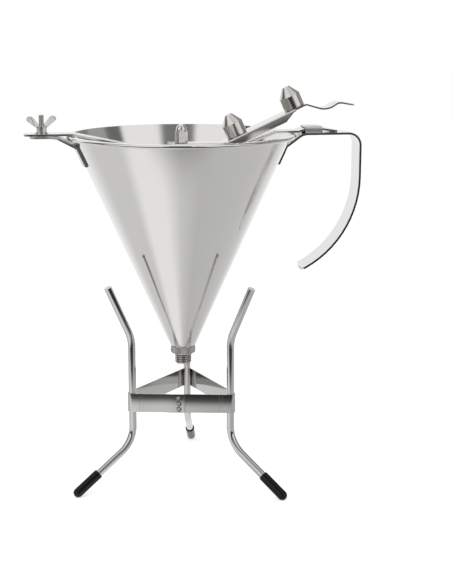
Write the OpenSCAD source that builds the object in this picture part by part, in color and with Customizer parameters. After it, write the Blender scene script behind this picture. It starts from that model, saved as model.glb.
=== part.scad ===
// Batter funnel with a lever valve, held over its three-legged wire stand.
// The origin is on the table, on the common axis of stand and funnel.
// +Z is up and +X is the way the handle points.

/* [Cone] */
// Outside diameter of the cone at the rim plane
cone_top_d = 198; // [150:1:240]
// Outside diameter of the cone at its small end
cone_end_d = 24; // [23:0.5:30]
// Height of the cone
cone_h = 195; // [150:1:240]
// Thickness of the cone's sheet
cone_wall = 0.8; // [0.6:0.1:1.4]
// How far the rolled rim stands out from the cone
rim_reach = 4; // [3.6:0.1:7]
// Diameter of the roll
rim_roll_d = 3.4; // [2.4:0.2:4]

/* [Outlet] */
// Diameter of the knurled collar
collar_d = 23.2; // [21:0.2:26]
// Height of the knurled collar
collar_h = 7.6; // [5:0.2:12]
// Outside diameter of the threaded spout
spout_d = 15.8; // [14:0.2:18]
// Length of the threaded spout
spout_h = 9.6; // [6:0.2:16]
// Bore that the batter runs through
bore_d = 9; // [7:0.5:10]
// Diameter of the spigot that screws into the cone
spigot_d = 13.8; // [13:0.2:15]
// Length of the spigot
spigot_h = 6.5; // [4:0.5:9]
// Thickness of the nozzle seal
seal_t = 0.5; // [0.4:0.1:1.5]

/* [Stand] */
// Diameter of the stand's rods
rod_d = 7; // [5:0.5:9]
// Distance of the rods from the axis, centre to centre
rod_ring_r = 52; // [48:1:60]
// Height of the upper bend
knee_z = 143; // [130:1:160]
// Length of the leaning arm above the bend
arm_len = 54.5; // [35:0.5:70]
// Distance of the feet from the axis
foot_r = 107.5; // [95:0.5:130]
// Slope of the feet below level
foot_slope = 36; // [30:1:42]
// Radius of the lower bend
foot_bend_r = 30; // [20:1:36]
// Radius of the upper bend
knee_bend_r = 35; // [20:1:60]
// Diameter of the rubber caps
cap_d = 9; // [9:0.5:12]
// Length of the rubber caps
cap_len = 30; // [20:1:40]
// Height of the band's lower edge
band_z = 74.5; // [70:0.5:90]
// Width of the band
band_h = 17.5; // [12:0.5:24]
// Thickness of the band
band_t = 0.9; // [0.6:0.1:1.4]
// Direction of the rear leg, from +X
rear_leg_az = 79; // [60:1:100]

/* [Place] */
// How far the funnel is held above its seat on the rods
lift = 69; // [5:1:120]

/* [Handle and lug] */
// Width of the handle's strip
handle_w = 28; // [20:1:32]
// Thickness of the handle's strip
handle_t = 2; // [1.5:0.1:3]
// Distance of the grip from the axis
handle_reach = 163; // [155:1:180]
// Radius of the handle's upper corner
handle_corner_r = 11; // [7:1:14]
// How far the handle's tip hangs below the rim
handle_drop = 125.5; // [115:0.5:135]
// How far the handle's wall pad reaches below the rim
handle_pad_z = 28; // [22:1:40]
// Width of the lug where it meets the cone
lug_w = 40; // [30:1:44]
// Thickness of the lug's strip
lug_t = 2; // [1.2:0.1:2.5]
// Distance of the lug's end from the axis
lug_reach = 134.5; // [131:0.5:138]
// How far the lug's wall pad reaches below the rim
lug_pad_z = 26.5; // [20:0.5:40]

/* [Clamp] */
// How far the clamp stud stands in from the lug's end
stud_inset = 10.8; // [9:0.1:13]
// Diameter of the clamp stud
stud_d = 5; // [4:0.5:6]
// Height of the stud above the rim
stud_top = 18.2; // [16:0.2:26]
// Width across both wings
wing_span = 28; // [22:0.5:32]
// Height of the wings' tips above the rim
wing_top = 17; // [14.5:0.5:22]

/* [Crossbar] */
// Width of the crossbar
bar_w = 20; // [17:0.5:20]
// Thickness of the crossbar
bar_t = 1.8; // [1.2:0.1:2.4]
// Distance of its left end from the axis
bar_left = 139.5; // [137:0.5:145]
// Distance of its right end from the axis
bar_right = 141; // [137:0.5:146]
// Depth of its middle below the ends
bar_dip = 17.3; // [16.5:0.1:19]
// Width of the loop that holds its right end
loop_len = 15.5; // [10:0.5:20]

/* [Lever] */
// Slope of the lever at rest
lever_slope = 24.5; // [23:0.5:26]
// Width of the lever's channel
lever_w = 24; // [23.5:0.1:26]
// Depth of the channel
lever_h = 7; // [5.5:0.1:7.5]
// Thickness of the lever's sheet
lever_t = 1.5; // [1.2:0.1:1.7]
// Distance between the two knobs along the lever
knob_pitch = 57.5; // [55:0.5:60]
// Diameter of the knobs
knob_d = 19; // [14:0.5:22]
// Height of a knob's round body
knob_body_h = 11.7; // [8:0.1:16]
// Height of a knob's cone
knob_cone_h = 8.4; // [5:0.1:12]
// Diameter of a knob's flat top
knob_top_d = 6.6; // [4:0.2:9]
// Width of the thumb rest
thumb_w = 20; // [14:0.5:24]
// Diameter of the pivot pin
pin_d = 3; // [2.5:0.1:3.4]

/* [Valve] */
// Diameter of the piston rod
piston_d = 6; // [5:0.1:6.4]
// Height of the dome nut's top above the rim
dome_top = 8.4; // [7.5:0.1:12]
// Width across the nuts' flats
nut_af = 10; // [9:0.5:12]
// Length of the pressed-in return spring
spring_len = 30; // [24:1:45]
// Outside diameter of the return spring
spring_d = 13.6; // [13:0.2:17]
// Diameter of the spring's wire
wire_d = 1.2; // [0.8:0.1:1.4]
// Number of working turns
spring_turns = 8; // [6:1:10]

/* [Hidden] */
$fn = 96;

running_gap = 0.05;   // radial clearance of a part that turns or slides in another
seat_gap = 0.3;       // clearance where two moving parts come to rest on each other
face_gap = 0.1;       // clearance of a nut or knob off the face it is tightened on
weld_gap = 0.1;       // radial clearance of a welded sleeve round its rod

// Cone
cone_top_r = cone_top_d / 2;
cone_end_r = cone_end_d / 2;
cone_tan = (cone_top_r - cone_end_r) / cone_h;
cone_half = atan(cone_tan);
wall_r = cone_wall / cos(cone_half);  // wall thickness measured level
roll_r = rim_roll_d / 2;
roll_x = cone_top_r + rim_reach - roll_r;

// Stand, and the height at which the cone rests on the three arms
rod_r = rod_d / 2;
cap_r = cap_d / 2;
knee = [rod_ring_r, knee_z];
arm_tip = knee + arm_len * [sin(cone_half), cos(cone_half)];
foot_end = [foot_r, cap_r];
foot_apex = [rod_ring_r, cap_r + (foot_r - rod_ring_r) * tan(foot_slope)];
leg_az = [rear_leg_az, rear_leg_az + 120, rear_leg_az + 240];
seat_r_at_knee = rod_ring_r - (rod_r + seat_gap) / cos(cone_half);
seat_rim_z = knee_z + (cone_top_r - seat_r_at_knee) / cone_tan;
rim_z = seat_rim_z + lift;
echo(seated_rim_height = seat_rim_z, rim_height = rim_z);

// Strip brackets: how the handle and the lug leave the wall under the rolled rim.
// Points are on the middle of the strip, at a thickness t and a slope a under the roll.
roll_gap = 1.2;       // space between the roll and the strip
function under_roll(t, a) = [roll_x, -roll_r] + (roll_r + roll_gap + t / 2) * [sin(a), -cos(a)];
function inside_wall(t, a) = under_roll(t, a) - 20 * [cos(a), sin(a)];
function reach_level(t, a) = let (q = under_roll(t, a)) [q[0] + (-t / 2 - q[1]) / tan(a), -t / 2];

lug_slope = 28;       // slope of each bracket where it passes under the roll
lug_bend_r = 14;
handle_slope = 36;
handle_bend_r = 13;

// Handle: down from its upper corner, then one even curve in towards the cone
grip_x = handle_reach - handle_t / 2;
curl_r = 94;
curl = 62;
tip_straight = 4;
curl_start = -handle_drop + curl_r * sin(curl) + tip_straight * cos(curl);
curl_apex = [grip_x, curl_start - curl_r * tan(curl / 2)];
curl_end = [grip_x - curl_r * (1 - cos(curl)), curl_start - curl_r * sin(curl)];
handle_tip = curl_end + tip_straight * [-sin(curl), -cos(curl)];
tip_corner_r = 9;

// Crossbar, as its top surface, on the lug, the rim and the handle at z = 0
bar_mid_top = bar_t - bar_dip;
bar_mid_half = 14;
bar_knee_left = sqrt(pow(cone_top_r - wall_r, 2) - pow(bar_w / 2, 2)) - 1;
bar_knee_right = 85;
bar_rise = 0.4;       // slope of its right side
bar_low_x = bar_knee_right - bar_dip / bar_rise;
bar_hump = 2;         // how high its end rises inside the loop
loop_x = 111.5;
loop_t = 1.2;
loop_gap = 0.5;
bar_bend_r = 2.5;
stud_x = lug_reach - stud_inset;
slot_w = stud_d + 0.6;
slot_len = 13;
washer_t = 0.8;
bar_steep = bar_t / 2 * (sqrt(1 + bar_rise * bar_rise) - 1);
function bar_top(x) = x > bar_low_x ? bar_mid_top + bar_rise * (x - bar_low_x) + bar_steep
    : bar_mid_top;

// Lever: lever_origin is on its top face, under the release knob
lever_origin = [50.7, -2.05];
pin_back = 8.5;       // pin's distance behind the release knob
pin_depth = 5;        // pin's depth below the lever's top face
along = [cos(lever_slope), sin(lever_slope)];
out = [-sin(lever_slope), cos(lever_slope)];
pin_at = lever_origin - pin_back * along - pin_depth * out;
fork_top = -8.3;      // height of the fork's upper face
fork_end = -12;
fork_w = 20;
fork_join = (fork_top - lever_origin[1]) / sin(lever_slope);
channel_back = fork_join + 1.5;
channel_front_top = 56;
channel_front_low = 44;
channel_edge_r = 2.2;
web_front = 67;
screw_d = 5;
screw_fit = running_gap;
ear_r = 3;
ear_t = 1.5;
ear_in = 6.6;
block_w = 2 * ear_in - 0.6;
block_r = 3.2;
block_front = 5.5;
block_low = 6;

// Valve
cone_bottom = -cone_h;
seal_bottom = cone_bottom - seal_t;
collar_top = seal_bottom - face_gap;
collar_bottom = collar_top - collar_h;
spout_bottom = collar_bottom - spout_h;
spigot_top = seal_bottom + spigot_h + seal_t;
ferrule_h = 11;
ring_t = 2;
ring_bottom = spigot_top + seat_gap;
plug_head_h = 3;
plug_head_r = spigot_d / 2 - 0.4;
pilot_len = 6;
dome_h = 12;
dome_skirt_h = 5.5;
dome_d = 9.8;
rod_top = dome_top - 5;
lock_nut_top = dome_top - dome_h;
lock_nut_bottom = fork_top + seat_gap;
bush_flange_d = 15;
bush_flange_h = 2;
bush_d = 10;
bush_below = 4;
bar_mid_bottom = bar_mid_top - bar_t;
spring_top = bar_mid_bottom;
spring_bottom = spring_top - spring_len;
spring_collar_d = 17;
spring_collar_h = 5;
nut_corner_r = nut_af / 2 / cos(30);

// How far the rod rises for a given press: the fork lifts the nut at its far corner
press_max = 8.5;
fork_arm = [-nut_corner_r - pin_at[0], fork_top - pin_at[1]];
rise_at_max = -fork_arm[0] * tan(press_max) + fork_arm[1] * (1 / cos(press_max) - 1);
echo(pin_x = pin_at[0], pin_z = rim_z + pin_at[1], rise_mm_at_full_press = rise_at_max);

// ---- helpers ----

bend_step = 5;        // degrees from one facet of a bend to the next
lap = 0.2;            // how far a piece runs into the next one it is welded to
lap_step = 0.01;      // set-back of a face that lies just inside another

function heading(a, b) = atan2(b[1] - a[1], b[0] - a[0]);
function wrapped(a) = a > 180 ? a - 360 : a < -180 ? a + 360 : a;
function turn_at(p, i) = wrapped(heading(p[i], p[i + 1]) - heading(p[i - 1], p[i]));
function trim_at(p, r, i) = i == 0 || i == len(p) - 1 ? 0 : r[i] * tan(abs(turn_at(p, i)) / 2);
function left_of(h) = [-sin(h), cos(h)];

// Points of the arc that rounds corner b between a and c
function arc(a, b, c, r, step) = let (h = heading(a, b), turn = wrapped(heading(b, c) - h),
    cut = r * tan(abs(turn) / 2), n = ceil(abs(turn) / step),
    centre = b - cut * [cos(h), sin(h)] + sign(turn) * r * left_of(h))
    [for (k = [0 : n]) centre - sign(turn) * r * left_of(h + turn * k / n)];

// A closed outline with each corner rounded to its own radius
function rounded(p, r) = let (n = len(p)) [for (i = [0 : n - 1])
    for (q = r[i] == 0 ? [p[i]] : arc(p[(i + n - 1) % n], p[i], p[(i + 1) % n], r[i], 10)) q];

// A sheet seen edge on: points along its middle, with a bend radius at each point
function bend_frames(p, r, i) = let (turn = turn_at(p, i), h = heading(p[i - 1], p[i]),
    start = p[i] - trim_at(p, r, i) * [cos(h), sin(h)],
    centre = start + sign(turn) * r[i] * left_of(h),
    n = ceil(abs(turn) / bend_step))
    [for (k = [0 : n]) let (side = left_of(h + turn * k / n)) [centre - sign(turn) * r[i] * side, side]];
function frames(p, r) = let (n = len(p) - 1) concat(
    [[p[0], left_of(heading(p[0], p[1]))]],
    [for (i = [1 : n - 1]) for (f = bend_frames(p, r, i)) f],
    [[p[n], left_of(heading(p[n - 1], p[n]))]]);
function sheet_outline(p, r, t) = let (f = frames(p, r)) concat(
    [for (g = f) g[0] + g[1] * t / 2],
    [for (k = [len(f) - 1 : -1 : 0]) f[k][0] - f[k][1] * t / 2]);

// A strip of sheet of width w, bent along a path in the XZ plane
module sheet(points, radii, t, w) {
    rotate([90, 0, 0])
        translate([0, 0, -w / 2])
            linear_extrude(w) polygon(sheet_outline(points, radii, t));
}

// A level outline cut out of whatever height is asked for
module plan(points, radii, low, high) {
    translate([0, 0, low])
        linear_extrude(high - low) polygon(rounded(points, radii));
}

// A round rod bent along a path in the XZ plane
module bent_rod(points, radii, r) {
    last = len(points) - 1;
    for (i = [0 : last - 1]) {
        h = heading(points[i], points[i + 1]);
        lap_in = i == 0 ? 0 : lap;
        lap_out = i == last - 1 ? 0 : lap;
        start = points[i] + (trim_at(points, radii, i) - lap_in) * [cos(h), sin(h)];
        run = norm(points[i + 1] - points[i]) - trim_at(points, radii, i)
            - trim_at(points, radii, i + 1);
        translate([start[0], 0, start[1]])
            rotate([0, 90 - h, 0]) cylinder(h = run + lap_in + lap_out, r = r);
    }
    for (i = [1 : last - 1]) {
        turn = turn_at(points, i);
        h = heading(points[i - 1], points[i]);
        start = points[i] - trim_at(points, radii, i) * [cos(h), sin(h)];
        centre = start + sign(turn) * radii[i] * left_of(h);
        from = turn > 0 ? h - 90 : h + 90 + turn;
        translate([centre[0], 0, centre[1]])
            rotate([90, 0, 0])
                rotate([0, 0, from])
                    rotate_extrude(angle = abs(turn))
                        translate([radii[i], 0]) circle(r = r + lap_step);
    }
}

// Places its child in the lever's own frame: X along the lever, Z out of its top face
module on_lever() {
    translate([lever_origin[0], 0, rim_z + lever_origin[1]])
        rotate([0, -lever_slope, 0]) children();
}

module from_rim() {
    translate([0, 0, rim_z]) children();
}

// A curved pad lying on the outside of the cone, on its +X side
module wall_pad(w, t, low, high) {
    tr = t / cos(cone_half);
    r_low = cone_top_r + cone_tan * low;
    r_high = cone_top_r + cone_tan * high;
    intersection() {
        translate([0, 0, low])
            difference() {
                cylinder(h = high - low, r1 = r_low + tr, r2 = r_high + tr);
                cylinder(h = high - low, r1 = r_low, r2 = r_high);
            }
        translate([0, -w / 2, low]) cube([cone_top_r * 2, w, high - low]);
    }
}

// A bracket's foot: the pad, up to the middle of the strip that slopes away under the roll
module bracket_foot(w, t, low, a) {
    q = under_roll(t, a);
    far = cone_top_r;
    difference() {
        wall_pad(w, t, low, q[1]);
        rotate([90, 0, 0])
            translate([0, 0, -w])
                linear_extrude(2 * w)
                    polygon([q - far * [cos(a), sin(a)], q + far * [cos(a), sin(a)],
                        [2 * far, far], [0, far]]);
    }
}

// The cone as a solid body, which ends each strip at its wall
module cone_body() {
    low = -cone_h / 2;
    translate([0, 0, low]) cylinder(h = -low, r1 = cone_top_r + cone_tan * low, r2 = cone_top_r);
}

module ring(outer_r, inner_r, h) {
    difference() {
        cylinder(h = h, r = outer_r);
        translate([0, 0, -1]) cylinder(h = h + 2, r = inner_r);
    }
}

// ---- stand ----

module leg(az) {
    color([0.74, 0.74, 0.73])
    rotate([0, 0, az])
        bent_rod([foot_end, foot_apex, knee, arm_tip], [0, foot_bend_r, knee_bend_r, 0], rod_r);
}

// A closed rubber cap: round end on the table, mouth up the rod
module foot_cap(az) {
    tube = cap_len - cap_r;
    lip = 0.8;
    color([0.07, 0.07, 0.07])
    rotate([0, 0, az])
        translate([foot_end[0], 0, foot_end[1]])
            rotate([0, foot_slope - 90, 0])
                difference() {
                    union() {
                        sphere(r = cap_r);
                        cylinder(h = tube - lip, r = cap_r);
                        translate([0, 0, tube - lip]) cylinder(h = lip, r1 = cap_r, r2 = cap_r - 0.4);
                    }
                    cylinder(h = tube + 1, r = rod_r);
                }
}

// The band's outline in plan, at a distance d outside the rods' centres
function band_outline(d) = let (r = rod_ring_r + 2 * d)
    rounded([for (az = leg_az) r * [cos(az), sin(az)]], [d, d, d]);

module stand_band() {
    inside = rod_r + weld_gap;
    face = rod_ring_r / 2 + inside;
    side = rod_ring_r * sqrt(3);
    seam_w = 12;
    seam_to = 3.2;
    seam_ramp = 9;
    weld_r = 2.2;
    weld_pitch = 5.4;
    weld_dent = 0.25;
    crimp_w = 3;
    crimp_d = 0.35;
    crimp_at = side / 2 - 8.5;
    color([0.70, 0.70, 0.69])
    translate([0, 0, band_z]) {
        difference() {
            linear_extrude(band_h)
                difference() {
                    polygon(band_outline(inside + band_t));
                    polygon(band_outline(inside));
                }
            for (az = leg_az)
                for (s = [-1, 1])
                    rotate([0, 0, az + 180])
                        translate([face + band_t - crimp_d, s * crimp_at - crimp_w / 2, -1])
                            cube([crimp_d + 1, crimp_w, band_h + 2]);
        }
        // the strip's end lapped over its beginning in the middle of the front, with three
        // spot welds
        rotate([0, 0, rear_leg_az + 180])
            difference() {
                linear_extrude(band_h)
                    polygon([[face + band_t - lap, seam_to], [face + 2 * band_t, seam_to],
                        [face + 2 * band_t, seam_to - seam_w],
                        [face + band_t - lap, seam_to - seam_w - seam_ramp]]);
                for (k = [-1 : 1])
                    translate([face + 2 * band_t - weld_dent, seam_to - seam_w / 2 + 0.6,
                        band_h / 2 + k * weld_pitch])
                        rotate([0, 90, 0]) cylinder(h = 2, r = weld_r);
            }
    }
}

// ---- funnel ----

module funnel_cone() {
    color([0.80, 0.80, 0.79])
    from_rim()
        rotate_extrude() {
            polygon([[cone_end_r - wall_r, -cone_h], [cone_end_r, -cone_h],
                [cone_top_r, 0], [cone_top_r - wall_r, 0]]);
            translate([cone_top_r - wall_r, -cone_wall])
                square([roll_x - cone_top_r + wall_r, cone_wall]);
            translate([roll_x, -roll_r]) circle(r = roll_r);
        }
}

module outlet_ferrule() {
    inner = cone_end_r - wall_r;
    color([0.62, 0.62, 0.60])
    from_rim()
        translate([0, 0, cone_bottom])
            difference() {
                cylinder(h = ferrule_h, r1 = inner, r2 = inner + ferrule_h * cone_tan);
                translate([0, 0, -1]) cylinder(h = ferrule_h + 2, r = spigot_d / 2 + running_gap);
            }
}

module lug() {
    notch_w = 9;
    notch_h = 0.9;
    notch_from = bar_w / 2 - 1;
    end_w = bar_w + 7;
    flare_x = cone_top_r - 8;   // where the flare would be as wide again as the lug
    narrow_x = stud_x - 8;
    color([0.72, 0.72, 0.71])
    from_rim()
        rotate([0, 0, 180])
            difference() {
                union() {
                    bracket_foot(lug_w, lug_t, -lug_pad_z, lug_slope);
                    intersection() {
                        difference() {
                            sheet([inside_wall(lug_t, lug_slope), reach_level(lug_t, lug_slope),
                                [lug_reach, -lug_t / 2]], [0, lug_bend_r, 0], lug_t, lug_w);
                            cone_body();
                        }
                        plan([[cone_top_r / 2, -lug_w], [flare_x, -lug_w], [narrow_x, -end_w / 2],
                            [lug_reach, -end_w / 2], [lug_reach, end_w / 2],
                            [narrow_x, end_w / 2], [flare_x, lug_w], [cone_top_r / 2, lug_w]],
                            [0, 0, 14, 6, 6, 14, 0, 0], -lug_reach, lug_reach);
                    }
                }
                translate([stud_x, 0, -lug_t - 1]) cylinder(h = lug_t + 2, r = stud_d / 2);
                // shallow notches in both long edges, under the crossbar
                for (s = [-1, 1])
                    translate([stud_x - notch_w / 2, s > 0 ? notch_from : -lug_w, -notch_h])
                        cube([notch_w, lug_w - notch_from, notch_h + 1]);
            }
}

module lug_stud() {
    color([0.66, 0.66, 0.65])
    from_rim()
        translate([-stud_x, 0, -lug_t]) {
            cylinder(h = stud_top + lug_t - 0.6, r = stud_d / 2);
            translate([0, 0, stud_top + lug_t - 0.6])
                cylinder(h = 0.6, r1 = stud_d / 2, r2 = stud_d / 2 - 0.6);
        }
}

module handle() {
    color([0.78, 0.78, 0.78])
    from_rim() {
        bracket_foot(handle_w, handle_t, -handle_pad_z, handle_slope);
        difference() {
            sheet([inside_wall(handle_t, handle_slope), reach_level(handle_t, handle_slope),
                [grip_x, -handle_t / 2], curl_apex, handle_tip],
                [0, handle_bend_r, handle_corner_r, curl_r, 0], handle_t, handle_w);
            cone_body();
            // rounds the two corners of the tip
            translate([handle_tip[0], 0, handle_tip[1]])
                rotate([0, 90 - curl, 0])
                    for (s = [0, 1])
                        mirror([0, s, 0])
                            translate([0, 0, -handle_t])
                                linear_extrude(2 * handle_t)
                                    polygon(concat([for (a = [0 : 10 : 90])
                                        [-1 + tip_corner_r * (1 - sin(a)) + 1,
                                        handle_w / 2 - tip_corner_r * (1 - cos(a))]],
                                        [[-5, handle_w / 2 - tip_corner_r], [-5, handle_w],
                                        [tip_corner_r, handle_w]]));
        }
    }
}

// A strap bridging the handle from side to side, over the crossbar's end
module crossbar_loop() {
    inside_w = bar_w + 2 * loop_gap;
    inside_h = bar_hump + bar_t + loop_gap;
    color([0.76, 0.76, 0.75])
    from_rim()
        translate([loop_x, 0, 0])
            rotate([90, 0, 90])
                linear_extrude(loop_len)
                    difference() {
                        union() {
                            translate([-inside_w / 2 - loop_t, 0])
                                square([inside_w + 2 * loop_t, inside_h + loop_t - 2]);
                            translate([-inside_w / 2 - loop_t + 2, 0])
                                square([inside_w + 2 * loop_t - 4, inside_h + loop_t]);
                            for (s = [-1, 1])
                                translate([s * (inside_w / 2 + loop_t - 2), inside_h + loop_t - 2])
                                    circle(r = 2);
                        }
                        translate([-inside_w / 2, -1]) square([inside_w, inside_h + 1]);
                    }
}

module crossbar() {
    mid = -bar_t / 2;
    loop_end = loop_x + loop_len;
    hump_run = 6;
    color([0.73, 0.73, 0.72])
    from_rim()
        difference() {
            intersection() {
                sheet([[-bar_left, bar_t + mid], [-bar_knee_left, bar_t + mid],
                    [-bar_mid_half, bar_mid_top + mid], [bar_low_x, bar_mid_top + mid],
                    [bar_knee_right, bar_t + mid], [loop_x - hump_run, bar_t + mid],
                    [loop_x, bar_t + bar_hump + mid], [loop_end, bar_t + bar_hump + mid],
                    [bar_right, bar_t + mid]],
                    [0, bar_bend_r, bar_bend_r, bar_bend_r, bar_bend_r, bar_bend_r,
                    bar_bend_r, bar_bend_r, 0], bar_t, bar_w + 4);
                plan([[-bar_left, -bar_w / 2], [bar_right + 2, -bar_w / 2],
                    [bar_right + 2, bar_w / 2], [-bar_left, bar_w / 2]], [5, 0, 0, 5],
                    -2 * bar_dip, bar_dip);
            }
            // slot round the clamp stud
            translate([-stud_x, 0, 0])
                plan([[-slot_len / 2, -slot_w / 2], [slot_len / 2, -slot_w / 2],
                    [slot_len / 2, slot_w / 2], [-slot_len / 2, slot_w / 2]],
                    [for (i = [1 : 4]) slot_w / 2 - 0.05], -1, bar_t + 1);
            translate([0, 0, bar_mid_bottom - 1]) cylinder(h = bar_t + 2, r = bush_d / 2);
        }
}

module clamp_washer() {
    color([0.68, 0.68, 0.67])
    from_rim()
        translate([-stud_x, 0, bar_t]) ring(stud_d + 0.3, stud_d / 2 + 0.2, washer_t);
}

// A slab in the XZ plane that is thinner at its top
module tapered_slab(half_low, half_high, low, high) {
    rotate([90, 0, 90])
        translate([0, 0, -wing_span])
            linear_extrude(2 * wing_span)
                polygon([[-half_low, low], [half_low, low], [half_high, high], [-half_high, high]]);
}

// A hollow's outline: a round end near the wing's tip, narrowing towards the hub
function wing_hollow(tip, r, lean) = let (foot = tip - 6 * [cos(lean), sin(lean)]) concat(
    [for (a = [lean - 90 : 20 : lean + 90]) tip + r * [cos(a), sin(a)]],
    [foot + 0.35 * r * [-sin(lean), cos(lean)], foot - 0.35 * r * [-sin(lean), cos(lean)]]);

module wing_nut() {
    base = bar_t + washer_t + face_gap;
    hub_h = 5.6;
    hub_r = stud_d - 0.4;
    low_half = 1.5;       // half thickness of the wings at the hub and at the tips
    high_half = 0.8;
    hollow = 0.4;         // depth of the hollow in each face
    turned = 18;
    tip_r = 3.3;
    edge = 1;
    corner_r = 2.4;
    lean = 56;
    // the two outer corners of a wing, before they are rounded
    tip = [wing_span / 2 - tip_r, wing_top - tip_r];
    low = tip + tip_r * [cos(lean) + sin(lean), sin(lean) - cos(lean)];
    high = tip + tip_r * [cos(lean) - sin(lean), sin(lean) + cos(lean)];
    color([0.75, 0.75, 0.74])
    from_rim()
        translate([-stud_x, 0, 0])
            rotate([0, 0, turned])
                difference() {
                    union() {
                        translate([0, 0, base]) cylinder(h = hub_h, r = hub_r);
                        intersection() {
                            tapered_slab(low_half, high_half, base, wing_top);
                            rotate([90, 0, 0])
                                translate([0, 0, -wing_span])
                                    linear_extrude(2 * wing_span)
                                        polygon(rounded([[0, base + 0.6], low, high, [0, base + 4.2],
                                            [-high[0], high[1]], [-low[0], low[1]]],
                                            [0, corner_r, corner_r, 0, corner_r, corner_r]));
                        }
                    }
                    translate([0, 0, base - 1]) cylinder(h = wing_top, r = stud_d / 2 + running_gap);
                    // the hollows in both faces of each wing
                    difference() {
                        for (s = [0, 1])
                            mirror([s, 0, 0])
                                rotate([90, 0, 0])
                                    translate([0, 0, -wing_span])
                                        linear_extrude(2 * wing_span)
                                            polygon(wing_hollow(tip, tip_r - edge, lean));
                        tapered_slab(low_half - hollow, high_half - hollow, base - 1, wing_top + 1);
                    }
                }
}

// ---- crossbar fittings ----

module guide_bush() {
    color([0.60, 0.60, 0.58])
    from_rim()
        difference() {
            union() {
                translate([0, 0, bar_mid_top]) cylinder(h = bush_flange_h, r = bush_flange_d / 2);
                translate([0, 0, bar_mid_bottom - bush_below])
                    cylinder(h = bar_t + bush_below, r = bush_d / 2);
            }
            translate([0, 0, bar_mid_bottom - bush_below - 1])
                cylinder(h = 30, r = piston_d / 2 + running_gap);
        }
}

module pivot_ears() {
    foot = 5.5;
    skin = lap_step;
    over_bend = 0.8;      // the foot bridges the bar's bend from here to here
    color([0.70, 0.70, 0.69])
    from_rim()
        for (s = [-1, 1])
            translate([0, s * (ear_in + ear_t / 2) + ear_t / 2, 0])
                rotate([90, 0, 0])
                    linear_extrude(ear_t)
                        difference() {
                            polygon(rounded([[pin_at[0] - foot, bar_top(pin_at[0] - foot) + skin],
                                [bar_low_x - over_bend, bar_mid_top + skin],
                                [bar_low_x + over_bend, bar_top(bar_low_x + over_bend) + skin],
                                [pin_at[0] + foot, bar_top(pin_at[0] + foot) + skin],
                                pin_at + [ear_r + 0.3, ear_r], pin_at + [-ear_r - 0.3, ear_r]],
                                [0, 0, 0, 0, ear_r, ear_r]));
                            translate(pin_at) circle(r = pin_d / 2);
                        }
}

module pivot_pin() {
    pin_len = 2 * (ear_in + ear_t) + 1;
    color([0.66, 0.66, 0.65])
    from_rim()
        translate([pin_at[0], pin_len / 2, pin_at[1]])
            rotate([90, 0, 0]) cylinder(h = pin_len, r = pin_d / 2);
}

module pivot_block() {
    color([0.62, 0.62, 0.60])
    on_lever()
        difference() {
            translate([0, block_w / 2, 0])
                rotate([90, 0, 0])
                    linear_extrude(block_w)
                        polygon(rounded([[-pin_back - block_r, -lever_t],
                            [-pin_back - block_r, -pin_depth - block_r],
                            [-pin_back + block_r, -pin_depth - block_r],
                            [-pin_back + block_r, -block_low], [block_front, -block_low],
                            [block_front, -lever_t]],
                            [0, block_r - 0.1, block_r - 0.1, 0, 0, 0]));
            translate([-pin_back, block_w, -pin_depth])
                rotate([90, 0, 0]) cylinder(h = 2 * block_w, r = pin_d / 2 + running_gap);
            translate([0, 0, -block_low - 2]) cylinder(h = block_low + 3, r = screw_d / 2 + screw_fit);
        }
}

// ---- lever ----

// The channel's section, with the top's two edges rolled over; Y = 0 is the top face
function channel_outline(w, top, low, r) = rounded(
    [[-w / 2, low], [w / 2, low], [w / 2, top], [-w / 2, top]], [0, 0, r, r]);

module lever_channel() {
    difference() {
        translate([channel_back, 0, 0])
            rotate([90, 0, 90])
                linear_extrude(channel_front_top - channel_back)
                    difference() {
                        polygon(channel_outline(lever_w, 0, -lever_h, channel_edge_r));
                        polygon(channel_outline(lever_w - 2 * lever_t, -lever_t, -lever_h - 1,
                            channel_edge_r - lever_t));
                    }
        // the flanges' front ends, cut back on a slant
        translate([0, lever_w, 0])
            rotate([90, 0, 0])
                linear_extrude(2 * lever_w)
                    polygon([[channel_front_low, -lever_h - 1], [channel_front_low, -lever_h],
                        [channel_front_top - 2, -lever_t - 0.5],
                        [channel_front_top + 1, -lever_t - 0.5],
                        [channel_front_top + 1, -lever_h - 1]]);
    }
}

// The web's continuation: a wave down and up again under the thumb
module thumb_rest() {
    start = lever_origin + (channel_front_top - 3) * along - lever_t / 2 * out;
    crest = lever_origin + web_front * along - lever_t / 2 * out;
    dip = crest + [19.5, -5.6];
    rise = dip + [10.5, 7.2];
    end = rise + [15, -2.6];
    intersection() {
        sheet([start, crest, dip, rise, end], [0, 3, 17, 8, 0],
            lever_t - 2 * lap_step, thumb_w + 4);
        plan([[50, -thumb_w / 2], [end[0] + 1, -thumb_w / 2], [end[0] + 1, thumb_w / 2],
            [50, thumb_w / 2]], [0, 6, 6, 0], -bar_dip, cone_top_r);
    }
}

// The web's other end, bent level and slotted to lift the nuts on the piston rod
module lever_fork() {
    join = lever_origin + fork_join * along;
    run_in = 4;
    slot_r = piston_d / 2 + 0.6;
    mid = [0, -lever_t / 2];
    intersection() {
        sheet([[fork_end, fork_top] + mid, [join[0], fork_top] + mid,
            join + run_in * along - lever_t / 2 * out], [0, 3, 0],
            lever_t - 2 * lap_step, fork_w + 4);
        difference() {
            plan([[fork_end, -fork_w / 2], [join[0] + 20, -fork_w / 2],
                [join[0] + 20, fork_w / 2], [fork_end, fork_w / 2]], [3, 0, 0, 3], -20, 10);
            plan([[fork_end - 5, -slot_r], [slot_r, -slot_r], [slot_r, slot_r],
                [fork_end - 5, slot_r]], [0, slot_r - 0.1, slot_r - 0.1, 0], -25, 15);
        }
    }
}

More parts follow.
